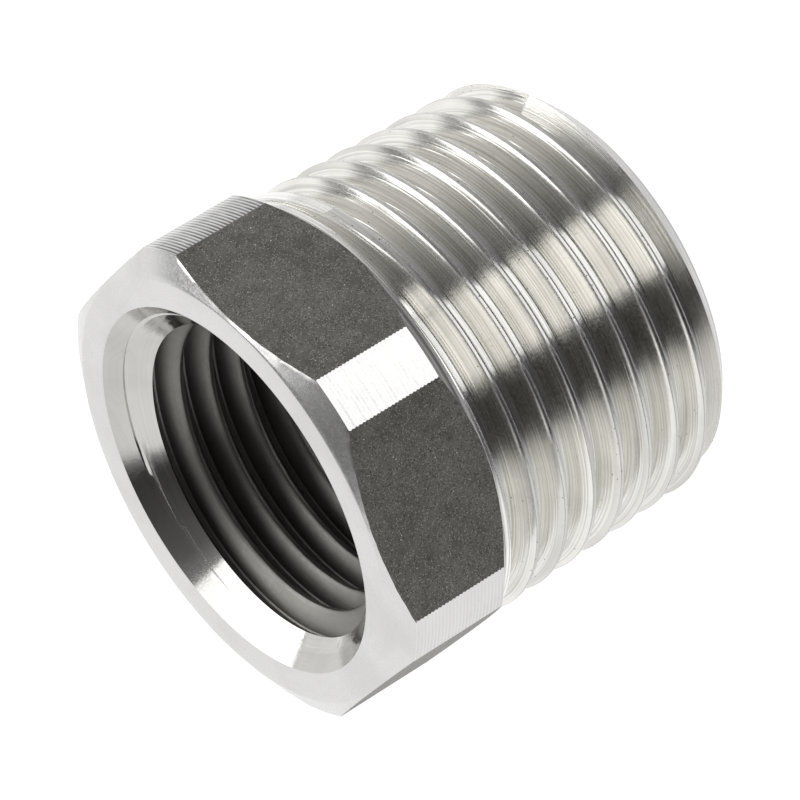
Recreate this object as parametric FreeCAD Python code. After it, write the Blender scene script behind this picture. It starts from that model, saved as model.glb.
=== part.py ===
import FreeCAD, Part
import math
import os

# Reducing bush turned from hexagonal bar: a short hexagon, a taper male thread and a bore
# for a smaller parallel female thread, countersunk at both ends.
# It is built along +X, from the hexagon's face at x = 0 to the small end of the male thread,
# with one flat of the hexagon facing up and one down, and moved at the end so that the
# origin lies on its axis at half its length.

# Hexagon
flat_count = 6
across_flats = 17.0
corner_diameter = 18.56        # the bar's corners are turned down to this
front_chamfer_width = 0.93     # radial, on the hexagon's face
front_ring_width = 1.11        # flat ring between that chamfer and the countersink
front_chamfer_angle = 30.0     # measured from the face
shoulder_chamfer_angle = 45.0  # behind the flats, down to the thread blank
corner_land_end = 4.50         # x where the turned corners end

# Male thread, 3/8 taper, 19 threads per inch, right-hand
threads_per_inch = 19.0
male_major_diameter = 16.662   # crest diameter at the gauge plane
gauge_length = 6.40            # from the gauge plane to the small end
taper = 1.0 / 16.0             # on the diameter
flank_half_angle = 27.5
overall_length = 16.40
lead_chamfer_width = 0.83      # radial, at the small end
lead_chamfer_angle = 45.0
end_ring_width = 0.65          # flat ring between that chamfer and the countersink
last_groove_x = 5.90           # last full groove before the hexagon
last_groove_turn = 20.0        # angle about the axis at which it lies there
runout_turn = 62.0             # angle over which that groove fades out

# Bore, at the crests of a 1/4 parallel female thread
bore_diameter = 11.445
countersink_angle = 45.0       # measured from the axis

# Derived sizes
pitch = 25.4 / threads_per_inch
thread_depth = 0.640327 * pitch
crest_flat = pitch / 6.0
half_taper = taper / 2.0
gauge_x = overall_length - gauge_length
corner_r = corner_diameter / 2.0
face_r = corner_r - front_chamfer_width
mouth_r = face_r - front_ring_width
flank_slope = math.tan(math.radians(flank_half_angle))
cutter_clear = 0.10            # how far a cutter stands out of the metal at the sides
cutter_over = 0.80             # and how far at the ends

ORIGIN = FreeCAD.Vector(0, 0, 0)
X_AXIS = FreeCAD.Vector(1, 0, 0)
Y_AXIS = FreeCAD.Vector(0, 1, 0)
Z_AXIS = FreeCAD.Vector(0, 0, 1)


def slope_of(angle):
    """Rise over run of an angle in degrees."""
    return math.tan(math.radians(angle))


def male_crest_radius(x):
    """Crest radius of the taper thread at a distance x from the hexagon's face."""
    return male_major_diameter / 2.0 + (gauge_x - x) * half_taper


def end_radius():
    """Outer radius of the small end's face, inside the lead chamfer."""
    return male_crest_radius(overall_length) - lead_chamfer_width


def crest_meets_chamfer(x, r, slope):
    """x where the crest cone meets a chamfer that passes through (x, r) and falls by slope per mm of +x."""
    return x + (r - male_crest_radius(x)) / (slope - half_taper)


def revolved(points):
    """Solid of revolution about X from (x, r) points."""
    corners = [FreeCAD.Vector(x, 0, r) for x, r in points]
    corners.append(corners[0])
    face = Part.Face(Part.makePolygon(corners))
    return face.revolve(ORIGIN, X_AXIS, 360.0)


def turned_blank():
    """The bar turned to its outside form: chamfer, corner land, shoulder chamfer, taper and lead chamfer."""
    end_r = end_radius()
    front_run = front_chamfer_width * slope_of(front_chamfer_angle)
    shoulder_x = crest_meets_chamfer(corner_land_end, corner_r, slope_of(shoulder_chamfer_angle))
    lead_x = crest_meets_chamfer(overall_length, end_r, slope_of(lead_chamfer_angle))
    return revolved([
        (0.0, 0.0),
        (0.0, face_r),
        (front_run, corner_r),
        (corner_land_end, corner_r),
        (shoulder_x, male_crest_radius(shoulder_x)),
        (lead_x, male_crest_radius(lead_x)),
        (overall_length, end_r),
        (overall_length, 0.0),
    ])


def hexagonal_bar():
    """Hexagonal bar along X with a flat facing up, longer than the bush at both ends."""
    flat_turn = math.radians(360.0 / flat_count)
    corner = across_flats / 2.0 / math.cos(flat_turn / 2.0)
    ring = []
    for k in range(flat_count + 1):
        turn = flat_turn * k
        ring.append(FreeCAD.Vector(-cutter_over, corner * math.cos(turn), corner * math.sin(turn)))
    face = Part.Face(Part.makePolygon(ring))
    return face.extrude(X_AXIS * (overall_length + 2.0 * cutter_over))


def bore_cutter():
    """The bore with its countersink at each end."""
    bore_r = bore_diameter / 2.0
    back_r = end_radius() - end_ring_width
    slope = slope_of(countersink_angle)
    return revolved([
        (-cutter_over, 0.0),
        (-cutter_over, mouth_r + cutter_over * slope),
        ((mouth_r - bore_r) / slope, bore_r),
        (overall_length - (back_r - bore_r) / slope, bore_r),
        (overall_length + cutter_over, back_r + cutter_over * slope),
        (overall_length + cutter_over, 0.0),
    ])


def groove_profile(root_r):
    """Trapezoid of one thread groove about z = 0, from its flat root to just outside the crests."""
    reach = thread_depth + cutter_clear
    half_root = crest_flat / 2.0
    half_open = half_root + reach * flank_slope
    corners = [
        FreeCAD.Vector(root_r, 0, -half_root),
        FreeCAD.Vector(root_r + reach, 0, -half_open),
        FreeCAD.Vector(root_r + reach, 0, half_open),
        FreeCAD.Vector(root_r, 0, half_root),
    ]
    corners.append(corners[0])
    return Part.makePolygon(corners)


def helical_cutter(root_r, height, growth):
    """Groove swept up a right-hand helix about Z, its root growing outward by growth per mm of height."""
    helix = Part.makeLongHelix(pitch, height, root_r, math.degrees(math.atan(growth)))
    sweep = Part.BRepOffsetAPI.MakePipeShell(Part.Wire(helix.Edges))
    sweep.setBiNormalMode(Z_AXIS)
    sweep.add(groove_profile(root_r), False, False)
    sweep.build()
    sweep.makeSolid()
    return sweep.shape()


def laid_from_end(tool, start, turn):
    """A tool built up Z, laid along the axis so that it runs from the small end towards the hexagon.

    start is its distance from the small end and turn the angle about the axis of its first profile.
    """
    tool.rotate(ORIGIN, Z_AXIS, -turn)
    tool.translate(Z_AXIS * start)
    tool.rotate(ORIGIN, Y_AXIS, -90.0)
    tool.translate(X_AXIS * overall_length)
    return tool


def taper_groove():
    """The taper groove, from beyond the small end to the last full turn."""
    x_start = overall_length + cutter_over
    height = x_start - last_groove_x
    root_r = male_crest_radius(x_start) - thread_depth
    tool = helical_cutter(root_r, height, half_taper)
    return laid_from_end(tool, -cutter_over, last_groove_turn + 360.0 * height / pitch)


def groove_runout():
    """The last groove rising out of the metal where the threading tool was drawn back."""
    height = pitch * runout_turn / 360.0
    root_r = male_crest_radius(last_groove_x) - thread_depth
    tool = helical_cutter(root_r, height, (thread_depth + cutter_clear) / height)
    return laid_from_end(tool, overall_length - last_groove_x, last_groove_turn)


body = turned_blank().common(hexagonal_bar())
body = body.cut(bore_cutter())
body = body.cut(taper_groove())
body = body.cut(groove_runout())
body = body.Solids[0]
body.translate(X_AXIS * (-overall_length / 2.0))

os.makedirs("parts", exist_ok=True)
body.exportStep("parts/bushing.step")
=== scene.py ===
"""Reducing bush turned from hexagonal bar, lying on one of its flats on a pale floor.

The bush has a short hexagon with turned-down corners, a taper male thread and a bore with a smaller
parallel female thread. Lengths in the classes are millimetres, measured along the axis from the
hexagon's face, and angles are degrees about the axis, from straight up towards -Y.
"""
import logging
import math
from dataclasses import dataclass, field
from enum import Enum
from functools import cache
from typing import ClassVar

import bpy
import numpy as np
from mathutils import Matrix


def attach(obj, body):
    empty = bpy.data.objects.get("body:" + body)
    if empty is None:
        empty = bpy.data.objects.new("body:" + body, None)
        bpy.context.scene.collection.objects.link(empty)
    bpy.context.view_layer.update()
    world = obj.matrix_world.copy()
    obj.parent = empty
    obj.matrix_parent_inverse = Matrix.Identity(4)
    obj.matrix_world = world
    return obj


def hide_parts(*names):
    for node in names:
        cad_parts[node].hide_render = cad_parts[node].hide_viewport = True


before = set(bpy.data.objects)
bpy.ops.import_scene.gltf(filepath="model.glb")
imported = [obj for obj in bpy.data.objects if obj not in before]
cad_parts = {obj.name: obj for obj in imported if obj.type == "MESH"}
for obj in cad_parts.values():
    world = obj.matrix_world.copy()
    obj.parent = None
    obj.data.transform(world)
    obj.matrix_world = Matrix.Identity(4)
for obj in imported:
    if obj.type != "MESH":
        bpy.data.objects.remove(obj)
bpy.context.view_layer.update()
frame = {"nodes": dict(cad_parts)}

LOG = logging.getLogger("bush")
MM = 0.001
TURN = 360.0
SECTOR = TURN / 6.0
GAUGE_RADIUS = 8.331
GAUGE_X = 10.0
CONE_SLOPE = 1.0 / 32.0
LONGEST_BREAK = 0.45
ON_CHAMFER = 0.01
ON_CREST = 0.02

Array = np.ndarray
Colour = tuple[float, float, float]
Points = list[tuple[Array, Array]]
Sockets = bpy.types.bpy_prop_collection
Socket = bpy.types.NodeSocket
Tones = tuple[tuple[float, float], ...]
Tree = bpy.types.NodeTree


class Zone(Enum):
    """Finishes on the bush, by the way each surface was made; those of the bore, the roots and the corners'
    feed marks also hold painted shade.
    """

    DRAWN = 0
    CORNER = 1
    FACE = 2
    NECK = 3
    CREST = 4
    FLANK = 5
    BORE = 6
    SINK = 7
    LEAD = 8
    RIM = 9
    SHOULDER = 10
    ROOT = 11


def smooth_step(t: Array) -> Array:
    """Cubic ease from 0 to 1: t*t*(3 - 2*t), with t held between 0 and 1."""
    t = np.clip(t, 0.0, 1.0)
    return t * t * (3.0 - 2.0 * t)


def value_noise(t: Array, seed: int) -> Array:
    """Smooth noise along a line.

    Random values stand at the whole numbers and are joined by cubic eases:
    v[n] + (v[n + 1] - v[n]) * ease(t - n).

    Args:
        t: Where to read it, in steps of one random value.
        seed: Which row of random values to use.

    Returns:
        Values from -1 to 1 in the shape of t.
    """
    values = np.random.default_rng(seed).uniform(-1.0, 1.0, 4096)
    whole = np.floor(t)
    low = values[whole.astype(np.int64) % values.size]
    high = values[(whole.astype(np.int64) + 1) % values.size]
    return low + (high - low) * smooth_step(t - whole)


def crest_cone(x: Array) -> Array:
    """Radius of the taper thread's crests: GAUGE_RADIUS + (GAUGE_X - x) * CONE_SLOPE."""
    return GAUGE_RADIUS + (GAUGE_X - x) * CONE_SLOPE


def even_shares(count: int) -> Array:
    """Ends of the even parts that a stretch is cut into: 1 / count, 2 / count and so on up to 1."""
    return np.arange(1, count + 1) / count


def softened(points: Points, radii: list[float]) -> Points:
    """Breaks the corners of a profile.

    A corner is replaced by a point a short way back along the profile and one a short way on, at most
    LONGEST_BREAK of the way to the next corner.

    Args:
        points: Profile corners as (x, r), each an array over the columns.
        radii: How far back and on each corner is broken, 0 where it stays sharp.

    Returns:
        The profile's points with its corners broken.
    """
    out = []
    for k, (x, r) in enumerate(points):
        reach = radii[k]
        if reach == 0.0:
            out.append((x, r))
            continue
        for other in (points[k - 1], points[k + 1]):
            dx, dr = other[0] - x, other[1] - r
            share = np.minimum(reach / np.maximum(np.hypot(dx, dr), 1e-9), LONGEST_BREAK)
            out.append((x + dx * share, r + dr * share))
    return out


@dataclass
class Patch:
    """A grid of the bush's skin, rows along the profile and columns about the axis.

    Attributes:
        x: Distance of each vertex from the hexagon's face, r that from the axis, and angle its angle.
        section: Its place along the profile, and how much painted shade the feed marks have there.
        zone: Finish of each quad.
        wrap: How many rows further up the last column joins the first one.
        inward: Whether the skin faces the axis.
        crossing: For each quad -1 or 1 where a chamfer's edge lies on its row before or after, else 0.
    """

    x: Array
    r: Array
    angle: Array
    section: Array
    zone: Array
    wrap: int = 0
    inward: bool = False
    crossing: Array | None = None

    def corners(self, base: int) -> tuple[Array, Array]:
        """Corner numbers of the grid's quads.

        The last column joins the first one, a turn on, and on a thread that is wrap rows further up.
        Where a chamfer's edge goes from a quad's one row to its other one, the quad is cut in two along
        that edge, and each half has the finish of the column that it has two corners on.

        Args:
            base: Number of the grid's first vertex in the whole mesh.

        Returns:
            The quads, four vertex numbers each, and the zone number of each quad.
        """
        rows, cols = self.x.shape
        row, col = np.meshgrid(np.arange(rows - 1), np.arange(cols), indexing="ij")
        last = col == cols - 1
        on = np.where(last, 0, col + 1)
        up = np.where(last, self.wrap, 0)
        near = np.minimum(row + up, rows - 1)
        far = np.minimum(row + 1 + up, rows - 1)
        quads = np.stack([row * cols + col, near * cols + on, far * cols + on, (row + 1) * cols + col], -1)
        zone, pieces = self.zone.copy(), []
        if self.crossing is not None:
            joined = near[:, -1].clip(max=rows - 2)
            edge_beside, zone_beside = (np.concatenate([grid[:, 1:], grid[joined, 0][:, None]], 1)
                                        for grid in (self.crossing, self.zone))
            step = self.crossing - edge_beside
            for cut, order, kinds in ((step == -2, (0, 1, 2, 2, 0, 2, 3, 3), (zone_beside, self.zone)),
                                      (step == 2, (0, 1, 3, 3, 1, 2, 3, 3), (self.zone, zone_beside))):
                halves = quads[cut][:, order].reshape(-1, 2, 4)
                quads[cut], zone[cut] = halves[:, 0], kinds[0][cut]
                pieces.append((halves[:, 1], kinds[1][cut]))
        quads = np.concatenate([quads.reshape(-1, 4)] + [piece for piece, _ in pieces])
        zone = np.concatenate([zone.reshape(-1)] + [kind for _, kind in pieces])
        if self.inward:
            quads = quads[:, ::-1]
        return base + quads, zone

    def points(self) -> Array:
        """Vertices in millimetres: y is -r*sin(angle) and z is r*cos(angle)."""
        x, turn = self.x - Bushing.length / 2.0, np.radians(self.angle)
        return np.stack([x, -self.r * np.sin(turn), self.r * np.cos(turn)], -1).reshape(-1, 3)


@dataclass(frozen=True)
class ThreadForm:
    """Section of a 19 per inch pipe thread with flat crests and roots, its crest edges worn.

    Attributes:
        crest_shape: Points of a worn crest edge, as (distance, depth) from the sharp edge per
            millimetre of wear.
        root_break: How far the corner at the root is broken.
        crest_breaks: The mean wear of the crest edge before the groove and of the one after it.
    """

    crest_shape: tuple[tuple[float, float], ...]
    root_break: float
    crest_breaks: tuple[float, float]
    pitch: float = 25.4 / 19.0
    depth: float = 0.640327 * 25.4 / 19.0
    half_angle: float = 27.5

    @property
    def half_root(self) -> float:
        """Half of the root's flat, a twelfth of the pitch."""
        return self.pitch / 12.0

    @property
    def half_open(self) -> float:
        """Half of the groove's width at the crests."""
        return self.half_root + self.depth * math.tan(math.radians(self.half_angle))

    def section(self) -> Array:
        """Half a groove, from beside its middle to the middle of the next crest.

        Returns:
            Four rows over the stations: distance from the groove's middle, depth below the crests,
            and how much each of the two grows per millimetre of wear on the crest's edge.
        """
        lean = math.cos(math.radians(self.half_angle))
        side = math.sin(math.radians(self.half_angle))
        low, top, root = self.half_root, self.half_open, self.root_break
        rows = [(low - root, self.depth, 0.0, 0.0), (low + root * side, self.depth - root * lean, 0.0, 0.0)]
        rows += [(top, 0.0, out, down) for out, down in self.crest_shape]
        rows.append((self.pitch / 2.0, 0.0, 0.0, 0.0))
        return np.array(rows).T


@dataclass
class Columns:
    """Angles of the grid's columns, with a column on each edge between a flat and a corner."""

    half_flat: float
    flat_steps: int = 16
    corner_steps: int = 5

    def angles(self) -> Array:
        """Angles for a whole turn, even over each flat and over each corner.

        Returns:
            The angles, from the first edge of the top flat on.
        """
        flat = np.linspace(-self.half_flat, self.half_flat, 2 * self.flat_steps + 1)
        corner = np.linspace(self.half_flat, SECTOR - self.half_flat, 2 * self.corner_steps + 1)[1:-1]
        one = np.concatenate([flat, corner])
        return np.concatenate([one + SECTOR * k for k in range(6)])


@dataclass
class HexHead:
    """Hexagon with turned corners: flat ring, front chamfer, lands, and the shoulder behind the flats.

    Attributes:
        sink_end: Where the skin of the head ends inside the mouth and the thread's begins.
        sink_line: Where the fine line in the countersink lies; line_width is half its width.
        line_span: First and last angle at which it is there; it fades in and out over line_ease.
        ragged: Size of the wide and of the narrow unevenness of the flats' edges.
        lip: How far the edges of the flat ring are broken.
        edge_break: How far the edges of flats and corners are broken.
        ridge: Height of the feed marks on the corners, ridge_count their number, and shoulder_ridge and
            shoulder_ridges the same for the shoulder.
        mark_shade_by_corner: Strength of the painted shade at the bottom of each corner's feed marks.
    """

    across_flats: float = 17.0
    corner_radius: float = 9.28
    face_radius: float = 8.35
    mouth_radius: float = 7.24
    front_angle: float = 30.0
    land_end: float = 4.50
    sink_end: float = 0.655
    sink_line: float = 0.59
    line_width: float = 0.060
    line_depth: float = 0.080
    line_span: tuple[float, float] = (226.0, 350.0)
    line_ease: float = 14.0
    ragged: tuple[float, float] = (0.012, 0.008)
    lip: float = 0.035
    edge_break: float = 0.008
    ridge: float = 0.0165
    ridge_count: int = 25
    shoulder_ridge: float = 0.004
    shoulder_ridges: int = 9
    # Painted shade in the corners' feed marks, one strength per corner.
    mark_shade_by_corner: tuple[float, ...] = (0.05, 0.2, 0.6, 0.6, 0.6, 1.5)

    @property
    def shoulder_x(self) -> float:
        """Where the shoulder at 45 degrees meets the crest cone, x + radius being the same all along it."""
        return (self.land_end + self.corner_radius - crest_cone(0.0)) / (1.0 - CONE_SLOPE)

    @property
    def half_flat(self) -> float:
        """Half of a flat's angle, the arc cosine of the flat's distance over the corner's radius."""
        return math.degrees(math.acos(self.across_flats / 2.0 / self.corner_radius))

    def from_flat(self, angle: Array) -> tuple[Array, Array]:
        """Angle from the nearest flat's middle, and that middle's angle."""
        middle = np.round(angle / SECTOR) * SECTOR
        return angle - middle, middle

    def ridges(self, share: Array, angle: Array) -> Array:
        """Height of the turning tool's feed marks on the corners.

        Each mark is a sharp hollow, |1 - 2 * t| with t the place within it, and its height changes a
        little from mark to mark and along its length.

        Args:
            share: Place along the corner, from 0 at its front to 1 at its rear.
            angle: Angle about the axis.

        Returns:
            Heights above the turned corner, in millimetres.
        """
        mark = share * self.ridge_count
        t = mark - np.floor(mark + 1e-6)
        uneven = 1.0 + 0.06 * value_noise(np.round(mark) * 7.3 + angle / 5.0, 12)
        return self.ridge * (np.abs(1.0 - 2.0 * t) * uneven - 0.3)

    def painted_mark_shade(self, row: Array, angle: Array) -> Array:
        """How dark the feed marks are at their bottom, in every second row.

        It is the corner's mark_shade_by_corner * (0.35 + 0.65 * place across the corner) * (1 - 0.4 *
        noise):
        painted shade, darkest beside the next flat.

        Args:
            row: Row of the corner, from 0 at its front.
            angle: Angle about the axis.

        Returns:
            Darkness from 0 to 1.
        """
        corner = np.floor(angle / SECTOR)
        across = (angle - corner * SECTOR - self.half_flat) / (SECTOR - 2.0 * self.half_flat)
        shade = np.array(self.mark_shade_by_corner)[corner.astype(int) % 6] * (0.35 + 0.65 * np.clip(across, 0.0, 1.0))
        return (row % 2) * shade * (1.0 - 0.4 * np.abs(value_noise(row * 5.3 + angle / 4.0, 13)))

    def corner_line(self, angle: Array) -> Array:
        """Radius of the hexagon with turned corners, the lesser of flat and corner circle."""
        flat = self.across_flats / 2.0 / np.cos(np.radians(self.from_flat(angle)[0]))
        return np.minimum(flat, self.corner_radius)

    def profile(self, angles: Array) -> Points:
        """Corners of the head's section, from just inside the mouth to the start of the neck.

        The front chamfer's edge lies at (radius - face radius) * tan(front angle), the shoulder's at the
        land's end plus corner radius - radius. On a flat both are uneven.

        Args:
            angles: The columns' angles.

        Returns:
            The section's points as (x, r), each an array over the columns.
        """
        edge = self.corner_line(angles)
        on_flat = np.abs(self.from_flat(angles)[0]) < self.half_flat - 1e-6
        wide, narrow = self.ragged
        ragged = wide * value_noise(angles * 2.7, 21) + narrow * value_noise(angles * 7.9, 22)
        ragged = np.where(on_flat, ragged, 0.0)
        front = (edge - self.face_radius) * math.tan(math.radians(self.front_angle)) + ragged
        rear = self.land_end + (self.corner_radius - edge) + 0.5 * ragged
        turn = np.mod(angles, TURN)
        first, last = self.line_span
        deep = smooth_step((turn - first) / self.line_ease) * smooth_step((last - turn) / self.line_ease)
        line, half = self.sink_line, self.line_width
        corners = [
            (self.sink_end, self.mouth_radius - self.sink_end),
            (line + half, self.mouth_radius - line - half),
            (line, self.mouth_radius - line + self.line_depth * deep),
            (line - half, self.mouth_radius - line + half),
            (0.0, self.mouth_radius),
            (0.0, self.face_radius),
            (np.maximum(front, 0.03), edge),
            (np.minimum(rear, self.shoulder_x - 0.012), edge),
            (self.shoulder_x, crest_cone(self.shoulder_x)),
        ]
        corners = [tuple(np.broadcast_to(place, angles.shape) for place in corner) for corner in corners]
        return softened(corners, [0.0] * 4 + [self.lip] * 2 + [self.edge_break] * 2 + [0.0])

    def marked(self, angles: Array, height: Array) -> tuple[Array, Array]:
        """Where the skin stands on rows whose corners are turned higher or lower by a feed mark.

        The edge between flat and corner stands at the arc cosine of flat distance / corner radius, and
        the columns on both sides of it are spread or drawn together with it.

        Args:
            angles: The columns' angles.
            height: Height of the mark above the turned corner, rows by columns.

        Returns:
            Angle and radius of each vertex.
        """
        off, middle = self.from_flat(angles)
        wide = np.abs(off)
        corner = self.corner_radius + height
        half = np.degrees(np.arccos(self.across_flats / 2.0 / corner))
        flat_off = wide * half / self.half_flat
        top = SECTOR / 2.0
        corner_off = top - (top - wide) * (top - half) / (top - self.half_flat)
        on_flat = wide <= self.half_flat + 1e-6
        flat_r = self.across_flats / 2.0 / np.cos(np.radians(flat_off))
        angle = middle + np.sign(off) * np.where(on_flat, flat_off, corner_off)
        return angle, np.where(on_flat, flat_r, corner)

    def patch(self, angles: Array) -> Patch:
        """The skin from just inside the mouth to the start of the neck.

        Args:
            angles: The columns' angles.

        Returns:
            The head's grid.
        """
        land, shoulder = 2 * self.ridge_count, 2 * self.shoulder_ridges
        stretches = [(1, Zone.SINK)] * 3 + [(3, Zone.RIM), (1, Zone.FACE), (3, Zone.FACE), (1, Zone.FACE)]
        stretches += [(5, Zone.FACE), (1, Zone.CORNER)]
        first = sum(count for count, _ in stretches)
        stretches += [(land, Zone.CORNER), (1, Zone.SHOULDER), (shoulder, Zone.SHOULDER)]
        profile = self.profile(angles)
        xs, rs, zones = [profile[0][0]], [profile[0][1]], []
        for (count, zone), (x0, r0), (x1, r1) in zip(stretches, profile, profile[1:]):
            xs += [x0 + (x1 - x0) * share for share in even_shares(count)]
            rs += [r0 + (r1 - r0) * share for share in even_shares(count)]
            zones += [zone.value] * count
        x, r = np.array(xs), np.array(rs)
        rise = 0.5 * self.shoulder_ridge * (-1.0) ** np.arange(shoulder - 1)[:, None]
        rise = rise * ((r[-shoulder - 1] - r[-1])[None, :] / (self.corner_radius - r[-1]))
        r[-shoulder:-1] += rise
        x[-shoulder:-1] += rise
        rows, row = slice(first, first + land + 1), np.arange(land + 1)[:, None]
        angle = np.broadcast_to(angles, x.shape).copy()
        height = self.ridges(row / land, angles[None, :])
        angle[rows], r[rows] = self.marked(angles, height)
        zone = np.repeat(np.array(zones)[:, None], x.shape[1], 1)
        drawn = np.abs(self.from_flat(angles + 0.1)[0]) < self.half_flat
        zone = np.where((zone == Zone.CORNER.value) & drawn[None, :], Zone.DRAWN.value, zone)
        steps = np.hypot(np.diff(x, axis=0, prepend=x[:1]), np.diff(r, axis=0, prepend=r[:1]))
        length = np.cumsum(steps, 0)
        # Painted shade in the corners' feed marks, passed to the material in the section attribute.
        hollow = np.zeros(x.shape)
        hollow[rows] = self.painted_mark_shade(row, angles)
        section = np.stack([length - length[-1:] + self.shoulder_x, hollow], -1)
        return Patch(x, r, angle, section, zone)


@dataclass
class Thread:
    """A helical skin between two rings, its stations following the groove so that every edge is crisp.

    Attributes:
        groove_x: Where the middle of the groove lies at the angle groove_angle.
        start: Where the skin's first ring stands, and end where its last one does.
        seed: Which random values make its wear uneven.
        chip: How uneven the wear of its crests is.
        fade_turn: Turns over which the groove fades out before groove_x.
        wear_turn: Turns over which its two edges come to be worn unlike after that.
    """

    form: ThreadForm
    groove_x: float
    groove_angle: float
    start: float
    end: float
    seed: int
    chip: float
    inside: bool = False
    fade_turn: float = 0.0
    wear_turn: float = 0.12

    @property
    def side(self) -> float:
        """1 where the groove's depth takes from the radius, -1 in a bore, where it adds to it."""
        return -1.0 if self.inside else 1.0

    def base_radius(self, x: Array) -> Array:
        """Radius of the crests at x."""
        raise NotImplementedError

    def limit(self, x: Array) -> Array:
        """Radius of the chamfer that cuts the thread off at x."""
        raise NotImplementedError

    def fade(self, turns: Array) -> Array:
        """Share of the full depth that the groove has: 1 + turns / fade turn, held between 0 and 1."""
        full = np.ones_like(turns)
        return np.clip((turns + self.fade_turn) / self.fade_turn, 0.0, 1.0) if self.fade_turn else full

    def wear(self, turns: Array, side: Array) -> Array:
        """Wear of the crest's edges along the helix, each side of the groove on its own.

        The mean wear plus a part of chip * (a * a + 0.3 * b), with a a slow noise held at 0 and above
        and b a quick one. Where the last groove fades out both of its edges are worn alike.

        Args:
            turns: Turns from the groove's last full place.
            side: -1 for the edge before the groove and 1 for the one after it.

        Returns:
            Millimetres of wear.
        """
        place = turns + 13.7 * side
        slow = np.maximum(value_noise(place * 61.0, self.seed), 0.0)
        quick = value_noise(place * 126.0, self.seed + 1)
        before, after = self.form.crest_breaks
        full = 1.0 if self.fade_turn == 0.0 else smooth_step(turns / self.wear_turn)
        mean = np.where(side < 0.0, after + (before - after) * full, after)
        return mean + max(after, 0.012) * np.maximum(self.chip * (slow * slow + 0.3 * quick), -0.85)

    def depth_at(self, x: Array, angle: Array) -> Array:
        """Depth of the groove below the crests, by the section's corners joined by lines.

        Args:
            x: Distance from the hexagon's face.
            angle: Angle about the axis.

        Returns:
            Depths in millimetres.
        """
        place = (x - self.groove_x) / self.form.pitch - (angle - self.groove_angle) / TURN
        whole = np.round(place)
        turns = (angle - self.groove_angle) / TURN + whole
        share = self.fade(turns)
        out, down, more_out, more_down = self.form.section()
        off = np.abs(place - whole) * self.form.pitch / np.maximum(share, 1e-3)
        before, after = (np.interp(off, out + more_out * wear, down + more_down * wear)
                         for wear in self.form.crest_breaks)
        return share * np.where((place < whole) & (turns > self.wear_turn), before, after)

    def stations(self) -> Array:
        """The section's stations over a whole groove, from after one crest's middle to the next one's.

        Returns:
            Five rows: distance from the groove's middle, depth, how much each of the two grows with the
            wear, and the length of the section up to each station.
        """
        half = self.form.section()
        whole = np.concatenate([half[:, -2::-1] * np.array([[-1.0], [1.0], [-1.0], [1.0]]), half], 1)
        run = np.cumsum(np.hypot(*np.diff(whole[:2], prepend=whole[:2, :1])))
        return np.vstack([whole, run])

    def patch(self, angles: Array) -> Patch:
        """The thread's grid.

        Station m of turn k stands at groove_x + pitch * turns + its distance from the groove's middle,
        where turns is (angle - groove_angle) / 360 + k. What falls outside the two rings is held on
        them.

        Args:
            angles: The columns' angles.

        Returns:
            The grid from the start ring to the end ring.
        """
        form, base = self.form, (angles - self.groove_angle) / TURN
        first = math.floor((self.start - self.groove_x) / form.pitch - base.max()) - 1
        last = math.ceil((self.end - self.groove_x) / form.pitch - base.min()) + 1
        stations, whole = self.stations(), np.arange(first, last + 1)
        per_turn = stations.shape[1]
        out, down, more_out, more_down, run = np.tile(stations, whole.size)[:, :, None]
        turns = base[None, :] + np.repeat(whole, per_turn)[:, None]
        share = self.fade(turns)
        wear = self.wear(turns, np.sign(out))
        off = out + more_out * wear
        inner = np.abs(out) < form.pitch / 2.0 - 1e-6
        x = self.groove_x + form.pitch * turns + off * np.where(inner, share, 1.0)
        held = np.clip(x, self.start, self.end)
        deep = share * (down + more_down * wear)
        depth = np.where(x == held, deep, self.depth_at(held, angles[None, :]))
        x, r, crossing = self.cut_off(held, depth)
        turned = (depth < 0.003) | (self.side * (r - self.limit(x)) > -1e-6)
        ring = np.where(turned, x, run + 0.3 * x)
        section = np.stack([ring, np.zeros_like(ring)], -1)
        angle = np.broadcast_to(angles, r.shape)
        return Patch(x, r, angle, section, self.zones(x, r, angle), per_turn, self.inside, crossing)

    def cut_off(self, x: Array, depth: Array) -> tuple[Array, Array, Array]:
        """Cuts the thread off where the chamfer lies deeper than its section.

        Args:
            x: Distance of the stations from the hexagon's face.
            depth: Their depth below the crests.

        Returns:
            The stations' distances, of which those beside a crossing have moved to it, their radii, and
            for each quad -1 or 1 where its row before or after has moved, else 0.
        """
        bound, r = self.limit(x), self.base_radius(x) - self.side * depth
        gap = self.side * (bound - r)
        cross = (gap[:-1] * gap[1:] < 0.0) & (x[1:] - x[:-1] > 1e-6)
        place = np.where(cross, gap[:-1] / np.where(cross, gap[:-1] - gap[1:], 1.0), 0.0)
        met = x[:-1] + (x[1:] - x[:-1]) * place
        low, high = cross & (place <= 0.5), cross & (place > 0.5)
        moved, snapped = x.copy(), np.zeros(x.shape, bool)
        for part, chosen in ((slice(None, -1), low), (slice(1, None), high)):
            moved[part] = np.where(chosen, met, moved[part])
            snapped[part] |= chosen
        cut = np.maximum(r, bound) if self.inside else np.minimum(r, bound)
        return moved, np.where(snapped, self.limit(moved), cut), high.astype(int) - low.astype(int)

    def zones(self, x: Array, r: Array, angle: Array) -> Array:
        """Zone number of each quad, from the places of the grid's vertices."""
        raise NotImplementedError


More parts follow.
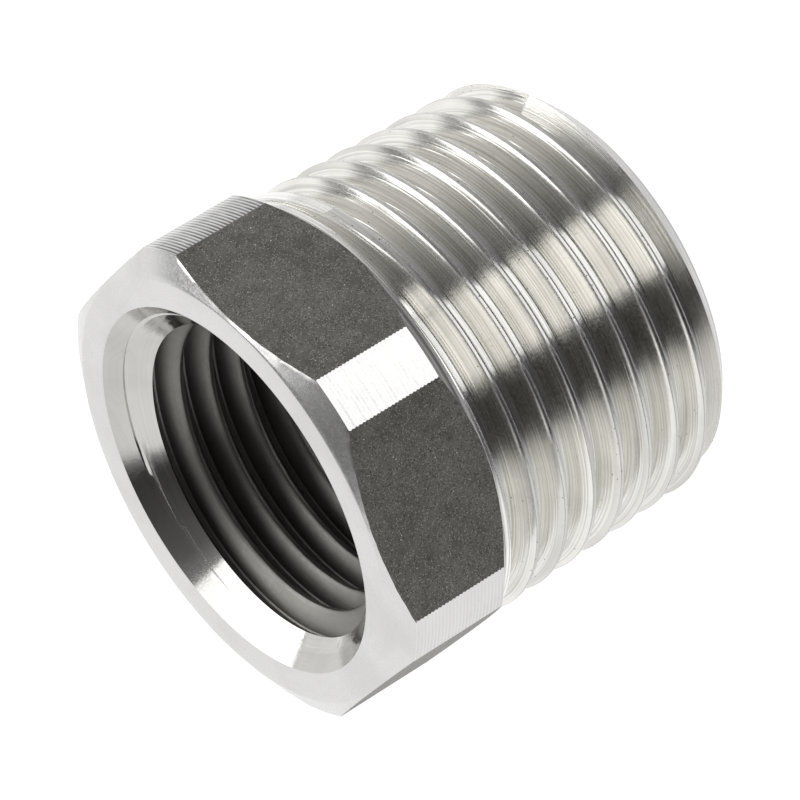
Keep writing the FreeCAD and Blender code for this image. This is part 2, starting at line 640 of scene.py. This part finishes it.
@dataclass
class MaleThread(Thread):
    """Taper thread from the neck to the small end, its last groove fading out before the hexagon."""

    end_radius: float = 7.301

    def base_radius(self, x: Array) -> Array:
        """The crest cone."""
        return crest_cone(x)

    def limit(self, x: Array) -> Array:
        """Lead chamfer at 45 degrees through the small end's edge."""
        return self.end_radius + (self.end - x)

    def zones(self, x: Array, r: Array, angle: Array) -> Array:
        """Neck, crests, roots and lead chamfer apart from the flanks.

        The neck is what lies before the last groove, and what that groove leaves where it fades out.

        Args:
            x: The vertices' distance from the hexagon's face.
            r: Their distance from the axis.
            angle: Their angle about it.

        Returns:
            Zone number of each quad.
        """
        mid_x, mid_r = 0.5 * (x[:-1] + x[1:]), 0.5 * (r[:-1] + r[1:])
        turns = (angle[1:] - self.groove_angle) / TURN
        place = (mid_x - self.groove_x) / self.form.pitch - turns
        lead = np.abs(self.limit(mid_x) - mid_r) < ON_CHAMFER
        crest = self.base_radius(mid_x) - mid_r < ON_CREST
        neck = crest & ((place < 0.0) | ((place < 0.7) & (self.fade(turns) < 0.4)))
        root = self.base_radius(mid_x) - mid_r > self.form.depth - ON_CREST
        zone = np.where(crest, Zone.CREST.value, np.where(root, Zone.ROOT.value, Zone.FLANK.value))
        return np.where(lead, Zone.LEAD.value, np.where(neck, Zone.NECK.value, zone))


@dataclass
class FemaleThread(Thread):
    """Parallel thread through the bore, cut off by a countersink at each end."""

    bore_radius: float = 5.7225
    mouth_radius: float = 7.24
    back_radius: float = 6.651

    def base_radius(self, x: Array) -> Array:
        """The bore's radius, the same all along."""
        return np.full_like(x, self.bore_radius)

    def limit(self, x: Array) -> Array:
        """The wider of the two countersinks at x, both at 45 degrees."""
        return np.maximum(self.mouth_radius - x, self.back_radius - (self.end - x))

    def zones(self, x: Array, r: Array, angle: Array) -> Array:
        """The countersinks apart from the thread between them."""
        mid_x, mid_r = 0.5 * (x[:-1] + x[1:]), 0.5 * (r[:-1] + r[1:])
        return np.where(np.abs(self.limit(mid_x) - mid_r) < ON_CHAMFER, Zone.SINK.value, Zone.BORE.value)


@dataclass
class Bushing:
    """The whole bush as one closed skin in place of the CAD node."""

    length: ClassVar[float] = 16.4

    head: HexHead = field(default_factory=HexHead)
    outer: ThreadForm = ThreadForm(((-2.0, 3.84), (0.17, 0.37), (1.0, 0.0)), 0.014, (0.085, 0.040))
    inner: ThreadForm = ThreadForm(((-0.693, 1.330), (0.652, 0.132), (1.0, 0.0)), 0.040, (0.03, 0.08))
    sharp_angle: float = 21.5

    def patches(self) -> list[Patch]:
        """The parts of the skin, on the same columns.

        Returns:
            The head, the male thread, the end face and the bore.
        """
        angles = Columns(self.head.half_flat).angles()
        male = MaleThread(self.outer, groove_x=5.90, groove_angle=20.0, start=self.head.shoulder_x,
                          end=self.length, seed=31, chip=0.12, fade_turn=62.0 / TURN).patch(angles)
        bore = FemaleThread(self.inner, groove_x=1.39, groove_angle=185.0, start=self.head.sink_end,
                            end=self.length, seed=41, chip=0.3, inside=True).patch(angles)
        return [self.head.patch(angles), male, self.end_face(male, bore), bore]

    def end_face(self, male: Patch, bore: Patch) -> Patch:
        """Flat ring at the small end, r going evenly from the male thread's last ring to the bore's.

        Args:
            male: The male thread's grid.
            bore: The bore's grid.

        Returns:
            The end face's grid.
        """
        outer, inner = male.r[-1], bore.r[-1]
        r = outer + (inner - outer) * np.linspace(0.0, 1.0, 5)[:, None]
        x = np.full_like(r, self.length)
        section = np.stack([outer + self.length - r, np.zeros_like(r)], -1)
        zone = np.full((r.shape[0] - 1, r.shape[1]), Zone.FACE.value)
        return Patch(x, r, np.broadcast_to(male.angle[-1], r.shape), section, zone)

    def build(self) -> bpy.types.Object:
        """Joins the patches into one closed mesh, in place of the CAD node.

        Vertices on the same spot are made one, quads with a side of no length become triangles, and
        those with no area are dropped.

        Returns:
            The bush's object.
        """
        patches = self.patches()
        bases = np.cumsum([0] + [patch.x.size for patch in patches])
        corners = [patch.corners(base) for patch, base in zip(patches, bases)]
        quads, zones = (np.concatenate(part) for part in zip(*corners))
        points = np.concatenate([patch.points() for patch in patches])
        sections = np.concatenate([patch.section.reshape(-1, 2) for patch in patches])
        _, keep, number = np.unique(np.round(points, 5), axis=0, return_index=True, return_inverse=True)
        quads = number.reshape(-1)[quads]
        points, sections = points[keep] * MM, sections[keep]
        same = quads == np.roll(quads, -1, axis=1)
        crossed = (quads[:, 0] == quads[:, 2]) | (quads[:, 1] == quads[:, 3])
        whole = ~same.any(1) & ~crossed
        three = (same.sum(1) == 1) & ~crossed
        faces = quads[whole].tolist() + quads[three][~same[three]].reshape(-1, 3).tolist()
        zones = np.concatenate([zones[whole], zones[three]])
        mesh = bpy.data.meshes.new("bush_skin")
        mesh.from_pydata(points.tolist(), [], faces)
        mesh.polygons.foreach_set("material_index", zones.astype(np.int32))
        mesh.polygons.foreach_set("use_smooth", np.ones(len(faces), bool))
        store = mesh.attributes.new("section", "FLOAT_VECTOR", "POINT")
        flat = np.pad(sections, ((0, 0), (0, 1))).astype(np.float32)
        store.data.foreach_set("vector", flat.reshape(-1))
        mesh.update()
        mesh.set_sharp_from_angle(angle=math.radians(self.sharp_angle))
        bush = bpy.data.objects.new("bush_skin", mesh)
        bpy.context.scene.collection.objects.link(bush)
        return bush

    def dress(self, bush: bpy.types.Object) -> None:
        """Gives each zone its finish."""
        for finish in FINISHES.values():
            bush.data.materials.append(finish.material())


@dataclass(frozen=True)
class Marks:
    """Tool marks: how many per millimetre, their changes per metre round the bush, and their bump."""

    density: float
    run: float
    strength: float
    distance: float


@dataclass(frozen=True)
class Dots:
    """Small spots: cells per metre, the share of cells that have one, its radius in cells, its colour."""

    scale: float
    share: float
    size: float
    colour: Colour


@dataclass(frozen=True)
class Metal:
    """A cut or drawn steel surface.

    Attributes:
        colour: Colour of the clean metal, and stain that of its dull patches.
        roughness: Its mean roughness, and spread how much that changes over the surface.
        coarse: The wider tool marks, and fine the finer ones.
        lines: How much darker the metal is at the bottom of the fine marks.
        hollow_shade: How much darker it is at the bottom of the feed marks.
        grain: Size of the grain in points per metre, and its depth.
        cloud: Scale, detail and roughness of the noise between clean metal and dull patches.
        dots: Pits and bright points.
    """

    name: str
    colour: Colour
    stain: Colour
    roughness: float
    # hollow_shade: How strong the painted shade at the bottom of the feed marks is.
    spread: float
    coarse: Marks
    fine: Marks
    lines: float = 0.0
    hollow_shade: float = 0.0
    grain: tuple[float, float] = (9000.0, 0.000001)
    cloud: tuple[float, float, float] = (420.0, 4.0, 0.5)
    dots: tuple[Dots, ...] = ()

    def material(self) -> bpy.types.Material:
        """The finish as a material.

        Returns:
            A material whose colour, roughness and bump follow the tool marks, the grain and the stains.
        """
        mat = bpy.data.materials.new(self.name)
        mat.use_nodes = True
        tree = mat.node_tree
        coarse, fine = (grouped(tree, tool_marks(), Density=marks.density, Run=marks.run)
                        for marks in (self.coarse, self.fine))
        grain = noise(tree, self.grain[0], 3.0)
        bump = {}
        for height, strength, distance in ((coarse, self.coarse.strength, self.coarse.distance),
                                           (fine, self.fine.strength, self.fine.distance),
                                           (grain, 1.0, self.grain[1])):
            bump |= {"Height": height, "Strength": strength, "Distance": distance}
            bump = {"Normal": fed(tree, "Bump", bump).outputs["Normal"]}
        shader = tree.nodes["Principled BSDF"].inputs
        shader["Metallic"].default_value = 1.0
        rough = (self.roughness - self.spread, self.roughness + self.spread)
        tree.links.new(self.tint(tree, fine), shader["Base Color"])
        tree.links.new(ranged(tree, grain, (0.3, 0.7), rough), shader["Roughness"])
        tree.links.new(bump["Normal"], shader["Normal"])
        return mat

    def tint(self, tree: Tree, fine: Socket) -> Socket:
        """Clean metal and dull patches, darker in the marks, with painted shade in the feed marks' bottoms
        and the pits and points over them.

        Args:
            tree: The node tree that it stands in.
            fine: Height of the fine marks.

        Returns:
            The colour.
        """
        worn = ranged(tree, noise(tree, *self.cloud), (0.38, 0.58), (0.0, 1.0))
        tint = blended(tree, worn, self.stain, self.colour)
        dark = tuple(0.15 * c for c in self.colour)
        if self.lines > 0.0:
            tint = blended(tree, ranged(tree, fine, (0.35, 0.60), (self.lines, 0.0)), tint, dark)
        # Painted shade at the bottom of the feed marks, read from the section attribute.
        if self.hollow_shade > 0.0:
            shade = ranged(tree, section_parts(tree)["Y"], (0.0, 0.9), (0.0, self.hollow_shade))
            tint = blended(tree, shade, tint, dark)
        for dots in self.dots:
            spots = grouped(tree, pin_points(), Scale=dots.scale, Share=dots.share, Size=dots.size)
            tint = blended(tree, spots, tint, dots.colour)
        return tint


def fed(tree: Tree, kind: str, inputs: dict, **settings: object) -> bpy.types.Node:
    """A new node, its settings made and its inputs filled.

    Args:
        tree: The node tree that it stands in.
        kind: The node's type, without the ShaderNode that it begins with.
        inputs: For each input that is filled, its value or the socket that it is linked to.
        settings: The node's own settings.

    Returns:
        The node.
    """
    node = tree.nodes.new("ShaderNode" + kind)
    for name, value in settings.items():
        setattr(node, name, value)
    for slot, value in inputs.items():
        if isinstance(value, Socket):
            tree.links.new(value, node.inputs[slot])
        else:
            node.inputs[slot].default_value = value
    return node


def object_place(tree: Tree) -> Socket:
    """Place on the object, in its own axes."""
    return fed(tree, "TexCoord", {}).outputs["Object"]


def parts_of(tree: Tree, vector: Socket) -> Sockets:
    """A vector's X, Y and Z."""
    return fed(tree, "SeparateXYZ", {"Vector": vector}).outputs


def section_parts(tree: Tree) -> Sockets:
    """X and Y of the section attribute: place along the profile, and the painted shade of the feed marks
    there.
    """
    return parts_of(tree, fed(tree, "Attribute", {}, attribute_name="section").outputs["Vector"])


def noise(tree: Tree, scale: float, detail: float, roughness: float = 0.5) -> Socket:
    """Noise from 0 to 1 that is fixed to the object; the scale is in steps per metre."""
    inputs = {"Vector": object_place(tree), "Scale": scale, "Detail": detail, "Roughness": roughness}
    return fed(tree, "TexNoise", inputs).outputs["Fac"]


def worked(tree: Tree, operation: str, one: Socket, other: Socket | float) -> Socket:
    """What a product or a comparison of two values gives."""
    return fed(tree, "Math", {0: one, 1: other}, operation=operation).outputs["Value"]


def ranged(tree: Tree, value: Socket, before: tuple[float, float], after: tuple[float, float]) -> Socket:
    """A value carried from one range to another and held at its ends."""
    ends = dict(zip(("From Min", "From Max", "To Min", "To Max"), (*before, *after)))
    return fed(tree, "MapRange", {"Value": value, **ends}).outputs["Result"]


def blended(tree: Tree, share: Socket, under: Colour | Socket, over: Colour | Socket) -> Socket:
    """Mix of two colours, under * (1 - share) + over * share."""
    under, over = ((*colour, 1.0) if isinstance(colour, tuple) else colour for colour in (under, over))
    return fed(tree, "Mix", {0: share, 6: under, 7: over}, data_type="RGBA").outputs[2]


def grouped(tree: Tree, group: Tree, **values: float) -> Socket:
    """Output of a node group that is set in a tree with values of its own."""
    return fed(tree, "Group", values, node_tree=group).outputs[0]


def new_group(name: str, inputs: tuple[str, ...], output: str) -> tuple[Tree, Sockets, Socket]:
    """An empty node group of values.

    Args:
        name: The group's name.
        inputs: Names of its inputs.
        output: Name of its output.

    Returns:
        The group, its inputs by name, and its output's socket.
    """
    tree = bpy.data.node_groups.new(name, "ShaderNodeTree")
    for socket in inputs:
        tree.interface.new_socket(socket, in_out="INPUT", socket_type="NodeSocketFloat")
    tree.interface.new_socket(output, in_out="OUTPUT", socket_type="NodeSocketFloat")
    return tree, tree.nodes.new("NodeGroupInput").outputs, tree.nodes.new("NodeGroupOutput").inputs[output]


@cache
def pin_points() -> Tree:
    """Node group for small round spots, one in some of the cells that space is cut into.

    Returns:
        The group, made at its first use.
    """
    tree, given, mask = new_group("pin_points", ("Scale", "Share", "Size"), "Mask")
    cells = fed(tree, "TexVoronoi", {"Vector": object_place(tree), "Scale": given["Scale"]}).outputs
    red = fed(tree, "SeparateColor", {"Color": cells["Color"]}).outputs["Red"]
    chosen = worked(tree, "LESS_THAN", red, given["Share"])
    close = worked(tree, "LESS_THAN", cells["Distance"], given["Size"])
    tree.links.new(worked(tree, "MULTIPLY", chosen, close), mask)
    return tree


@cache
def tool_marks() -> Tree:
    """Node group for marks that run round the bush, or along the helix on a thread.

    A four-dimensional noise reads the place along the profile times the density, and the object's Y
    and Z times the run.

    Returns:
        The group, made at its first use.
    """
    tree, given, height = new_group("tool_marks", ("Density", "Run"), "Height")
    body = parts_of(tree, object_place(tree))
    along = worked(tree, "MULTIPLY", section_parts(tree)["X"], given["Density"])
    across, up = (worked(tree, "MULTIPLY", body[axis], given["Run"]) for axis in "YZ")
    place = fed(tree, "CombineXYZ", {"X": along, "Z": across}).outputs["Vector"]
    inputs = {"Vector": place, "W": up, "Scale": 1.0, "Detail": 1.0}
    tree.links.new(fed(tree, "TexNoise", inputs, noise_dimensions="4D").outputs["Fac"], height)
    return tree


PIT = (0.05, 0.048, 0.045)
FINISHES = {
    Zone.DRAWN: Metal("drawn_bar", (0.255, 0.249, 0.231), (0.18, 0.176, 0.162), 0.55, 0.1,
        Marks(3.0, 300.0, 0.15, 0.00002), Marks(8.0, 900.0, 0.1, 0.00001),
        grain=(14000.0, 0.00001), cloud=(900.0, 9.0, 0.78),
        dots=(Dots(17000.0, 0.26, 0.46, (0.11, 0.107, 0.098)),
              Dots(19000.0, 0.22, 0.42, (0.47, 0.46, 0.44)),
              Dots(13000.0, 0.006, 0.3, (0.9, 0.9, 0.88)))),
    # Corners: hollow_shade paints shade into the bottom of the feed marks.
    Zone.CORNER: Metal("turned_corner", (0.7, 0.696, 0.684), (0.66, 0.656, 0.644), 0.13, 0.03,
        Marks(5.0, 120.0, 0.1, 0.000002), Marks(12.0, 300.0, 0.1, 0.000002), hollow_shade=1.0),
    Zone.FACE: Metal("turned_face", (0.67, 0.666, 0.654), (0.62, 0.616, 0.604), 0.24, 0.05,
        Marks(4.0, 60.0, 0.3, 0.000008), Marks(12.0, 300.0, 0.3, 0.000004), 0.02,
        dots=(Dots(3200.0, 0.04, 0.14, PIT),)),
    Zone.NECK: Metal("turned_neck", (0.92, 0.912, 0.89), (0.82, 0.812, 0.79), 0.22, 0.06,
        Marks(4.0, 12.0, 1.0, 0.00003), Marks(9.0, 30.0, 0.8, 0.000016), 0.45),
    Zone.CREST: Metal("thread_crest", (0.66, 0.652, 0.63), (0.6, 0.592, 0.57), 0.17, 0.05,
        Marks(5.0, 20.0, 0.7, 0.000016), Marks(11.0, 60.0, 0.7, 0.000012), 0.3,
        dots=(Dots(11000.0, 0.05, 0.3, PIT),)),
    Zone.FLANK: Metal("thread_flank", (0.82, 0.806, 0.768), (0.76, 0.746, 0.708), 0.15, 0.04,
        Marks(4.0, 12.0, 0.5, 0.000012), Marks(10.0, 40.0, 0.8, 0.000012), 0.31,
        dots=(Dots(11000.0, 0.008, 0.28, PIT),)),
    # Bore: its dark colour is painted shade inside the bore as well as the tapped thread's duller finish.
    Zone.BORE: Metal("bore_metal_shaded", (0.27, 0.263, 0.245), (0.23, 0.223, 0.207), 0.5, 0.05,
        Marks(5.0, 20.0, 0.2, 0.000006), Marks(12.0, 40.0, 0.2, 0.000004), 0.05),
    Zone.SINK: Metal("countersink", (0.58, 0.572, 0.548), (0.53, 0.522, 0.498), 0.11, 0.03,
        Marks(4.0, 20.0, 0.4, 0.000012), Marks(11.0, 40.0, 0.3, 0.000004), 0.06),
    Zone.LEAD: Metal("lead_chamfer", (0.55, 0.544, 0.53), (0.48, 0.474, 0.46), 0.2, 0.05,
        Marks(6.0, 15.0, 0.9, 0.00003), Marks(13.0, 40.0, 0.7, 0.000014), 0.6),
    Zone.RIM: Metal("countersink_rim", (0.53, 0.522, 0.5), (0.49, 0.482, 0.462), 0.12, 0.03,
        Marks(4.0, 20.0, 0.3, 0.000008), Marks(11.0, 40.0, 0.2, 0.000003), 0.04),
    Zone.SHOULDER: Metal("turned_shoulder", (0.95, 0.942, 0.922), (0.86, 0.852, 0.832), 0.55, 0.06,
        Marks(2.0, 12.0, 1.0, 0.00006), Marks(4.5, 40.0, 1.0, 0.00003), 0.7),
    # Root: darker than the flanks, painted shade at the bottom of the thread's grooves.
    Zone.ROOT: Metal("thread_root_shaded", (0.7, 0.694, 0.674), (0.62, 0.614, 0.596), 0.16, 0.04,
        Marks(6.0, 60.0, 0.5, 0.00001), Marks(13.0, 150.0, 0.5, 0.000006), 0.3),
}


@dataclass(frozen=True)
class Panel:
    """A soft light that faces the bush.

    Attributes:
        toward: Direction from the bush to its middle.
        along: Direction of its width, about square to toward.
        distance: How far off it stands, in metres like its width and height.
        radiance: How bright its face is.
    """

    name: str
    toward: tuple[float, float, float]
    along: tuple[float, float, float]
    distance: float
    width: float
    height: float
    radiance: float

    def hang(self) -> None:
        """Adds it to the scene; its power is radiance times pi times its area."""
        light = bpy.data.lights.new(self.name, "AREA")
        light.shape = "RECTANGLE"
        light.size = self.width
        light.size_y = self.height
        light.energy = self.radiance * math.pi * self.width * self.height
        lamp = bpy.data.objects.new(self.name, light)
        out = np.array(self.toward) / np.linalg.norm(self.toward)
        right = np.array(self.along) - out * np.dot(self.along, out)
        right /= np.linalg.norm(right)
        lamp.matrix_world = placed(right, np.cross(out, right), out, out * self.distance)
        bpy.context.scene.collection.objects.link(lamp)


@dataclass
class Studio:
    """Pale floor, soft lights and the camera at the photograph's angle."""

    floor_z: float = -8.5
    floor_size: float = 1.6
    azimuth: float = -41.89
    elevation: float = 47.44
    roll: float = 2.16
    target_x: float = 8.0
    distance: float = 229.5
    pixels_per_mm: float = 28.33
    frame: float = 800.0
    shift: tuple[float, float] = (7.06, 14.85)
    floor_along: Tones = ((-0.065, 0.1), (-0.036, 1.0), (0.035, 1.0), (0.100, 0.45))
    floor_near: Tones = ((-0.200, 0.10), (-0.120, 0.38), (-0.060, 0.68), (-0.040, 0.88), (-0.034, 0.97),
                         (0.045, 0.97), (0.090, 1.12))
    room_tones: Tones = ((-1.0, 0.10), (-0.75, 0.075), (-0.50, 0.05), (-0.05, 0.15), (0.16, 0.36),
                         (0.41, 0.50), (0.66, 0.81), (0.90, 0.97))
    right_tones: Tones = ((-1.0, 1.0), (0.50, 1.0), (0.58, 0.66), (0.65, 0.28), (0.80, 0.12))
    panels: tuple[Panel, ...] = (
        Panel("right_front_box", (0.494, -0.4285, 0.757), (0.834, 0.291, -0.467), 0.60, 0.70, 0.427, 1.5),
        Panel("left_back_wall", (-0.643, 0.702, 0.305), (-0.73, -0.67, -0.14), 0.70, 0.89, 0.56, 1.7),
    )

    def lay_floor(self) -> None:
        """A large pale sheet under the bush that glows by its own emission: painted light that keeps it
        white and falls off far to the left and towards the camera.
        """
        half, z = self.floor_size / 2.0, self.floor_z * MM
        corners = [(-half, -half, z), (half, -half, z), (half, half, z), (-half, half, z)]
        mesh = bpy.data.meshes.new("floor")
        mesh.from_pydata(corners, [], [(0, 1, 2, 3)])
        floor = bpy.data.objects.new("floor", mesh)
        mat = bpy.data.materials.new("floor_paper")
        mat.use_nodes = True
        tree = mat.node_tree
        shader = tree.nodes["Principled BSDF"].inputs
        for name, value in (("Base Color", (0.18, 0.18, 0.18, 1.0)), ("Roughness", 0.9),
                            ("Specular IOR Level", 0.1), ("Emission Color", (1.0, 1.0, 1.0, 1.0))):
            shader[name].default_value = value
        # Painted light: the floor's emission, strong near the bush and falling off along X and towards the
        # camera.
        place = parts_of(tree, object_place(tree))
        along, near = toned(tree, place["X"], self.floor_along), toned(tree, place["Y"], self.floor_near)
        tree.links.new(worked(tree, "MULTIPLY", along, near), shader["Emission Strength"])
        mesh.materials.append(mat)
        bpy.context.scene.collection.objects.link(floor)

    def set_world(self) -> None:
        """A room that is dim towards the camera, light towards its back and darker again at its right.

        The strength is back(Y) * right(X), with X and Y of the direction and both read from the tones.
        """
        world = bpy.data.worlds.new("room")
        world.use_nodes = True
        tree = world.node_tree
        sky = tree.nodes["Background"].inputs
        sky["Color"].default_value = (1.0, 1.0, 1.0, 1.0)
        way = parts_of(tree, fed(tree, "TexCoord", {}).outputs["Generated"])
        back, right = toned(tree, way["Y"], self.room_tones), toned(tree, way["X"], self.right_tones)
        tree.links.new(worked(tree, "MULTIPLY", back, right), sky["Strength"])
        bpy.context.scene.world = world

    def set_camera(self) -> None:
        """The camera, from the angles and the distance found by fitting the bush to the photograph."""
        a, e, w = (math.radians(v) for v in (self.azimuth, self.elevation, self.roll))
        out = np.array([math.sin(a) * math.cos(e), -math.cos(a) * math.cos(e), math.sin(e)])
        level = np.cross([0.0, 0.0, 1.0], out)
        level /= np.linalg.norm(level)
        above = np.cross(out, level)
        right = level * math.cos(w) + above * math.sin(w)
        up = above * math.cos(w) - level * math.sin(w)
        target = np.array([self.target_x - Bushing.length / 2.0, 0.0, 0.0]) * MM
        lens = bpy.data.cameras.new("camera")
        lens.sensor_width = 36.0
        lens.lens = self.pixels_per_mm * self.distance / self.frame * lens.sensor_width
        lens.clip_start = 0.01
        lens.clip_end = 10.0
        lens.shift_x, lens.shift_y = (-shift / self.frame for shift in self.shift)
        camera = bpy.data.objects.new("camera", lens)
        camera.matrix_world = placed(right, up, out, target + out * self.distance * MM)
        bpy.context.scene.collection.objects.link(camera)
        bpy.context.scene.camera = camera


def toned(tree: Tree, value: Socket, tones: Tones) -> Socket:
    """Reads a curve of straight pieces.

    The tones are held as a share of the brightest one in a ramp, which is multiplied back.

    Args:
        tree: The node tree that it stands in.
        value: Where the curve is read.
        tones: The curve's points as (place, tone), in rising order.

    Returns:
        The tone at the value.
    """
    low, high = tones[0][0], tones[-1][0]
    most = max(tone for _, tone in tones)
    ramp = fed(tree, "ValToRGB", {"Fac": ranged(tree, value, (low, high), (0.0, 1.0))})
    stops = ramp.color_ramp.elements
    for place, _ in tones[2:]:
        stops.new((place - low) / (high - low))
    for stop, (place, tone) in zip(stops, tones):
        stop.position = (place - low) / (high - low)
        stop.color = (tone / most, tone / most, tone / most, 1.0)
    return worked(tree, "MULTIPLY", ramp.outputs["Color"], most)


def placed(right: Array, up: Array, out: Array, place: Array) -> Matrix:
    """Matrix of something at a place whose X is right, Y is up and Z is out."""
    columns = [(*axis, 0.0) for axis in (right, up, out)] + [(*place, 1.0)]
    return Matrix(columns).transposed()


def main() -> None:
    """Builds the bush and the studio."""
    logging.basicConfig(level=logging.INFO, format="%(name)s: %(message)s")
    maker = Bushing()
    bush = maker.build()
    maker.dress(bush)
    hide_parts("bushing")
    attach(bush, "root")
    LOG.info("bush skin: %d vertices, %d faces", len(bush.data.vertices), len(bush.data.polygons))
    studio = Studio()
    studio.lay_floor()
    for panel in studio.panels:
        panel.hang()
    studio.set_world()
    studio.set_camera()
    bpy.context.scene.view_settings.view_transform = "Standard"


if __name__ == "__main__":
    main()
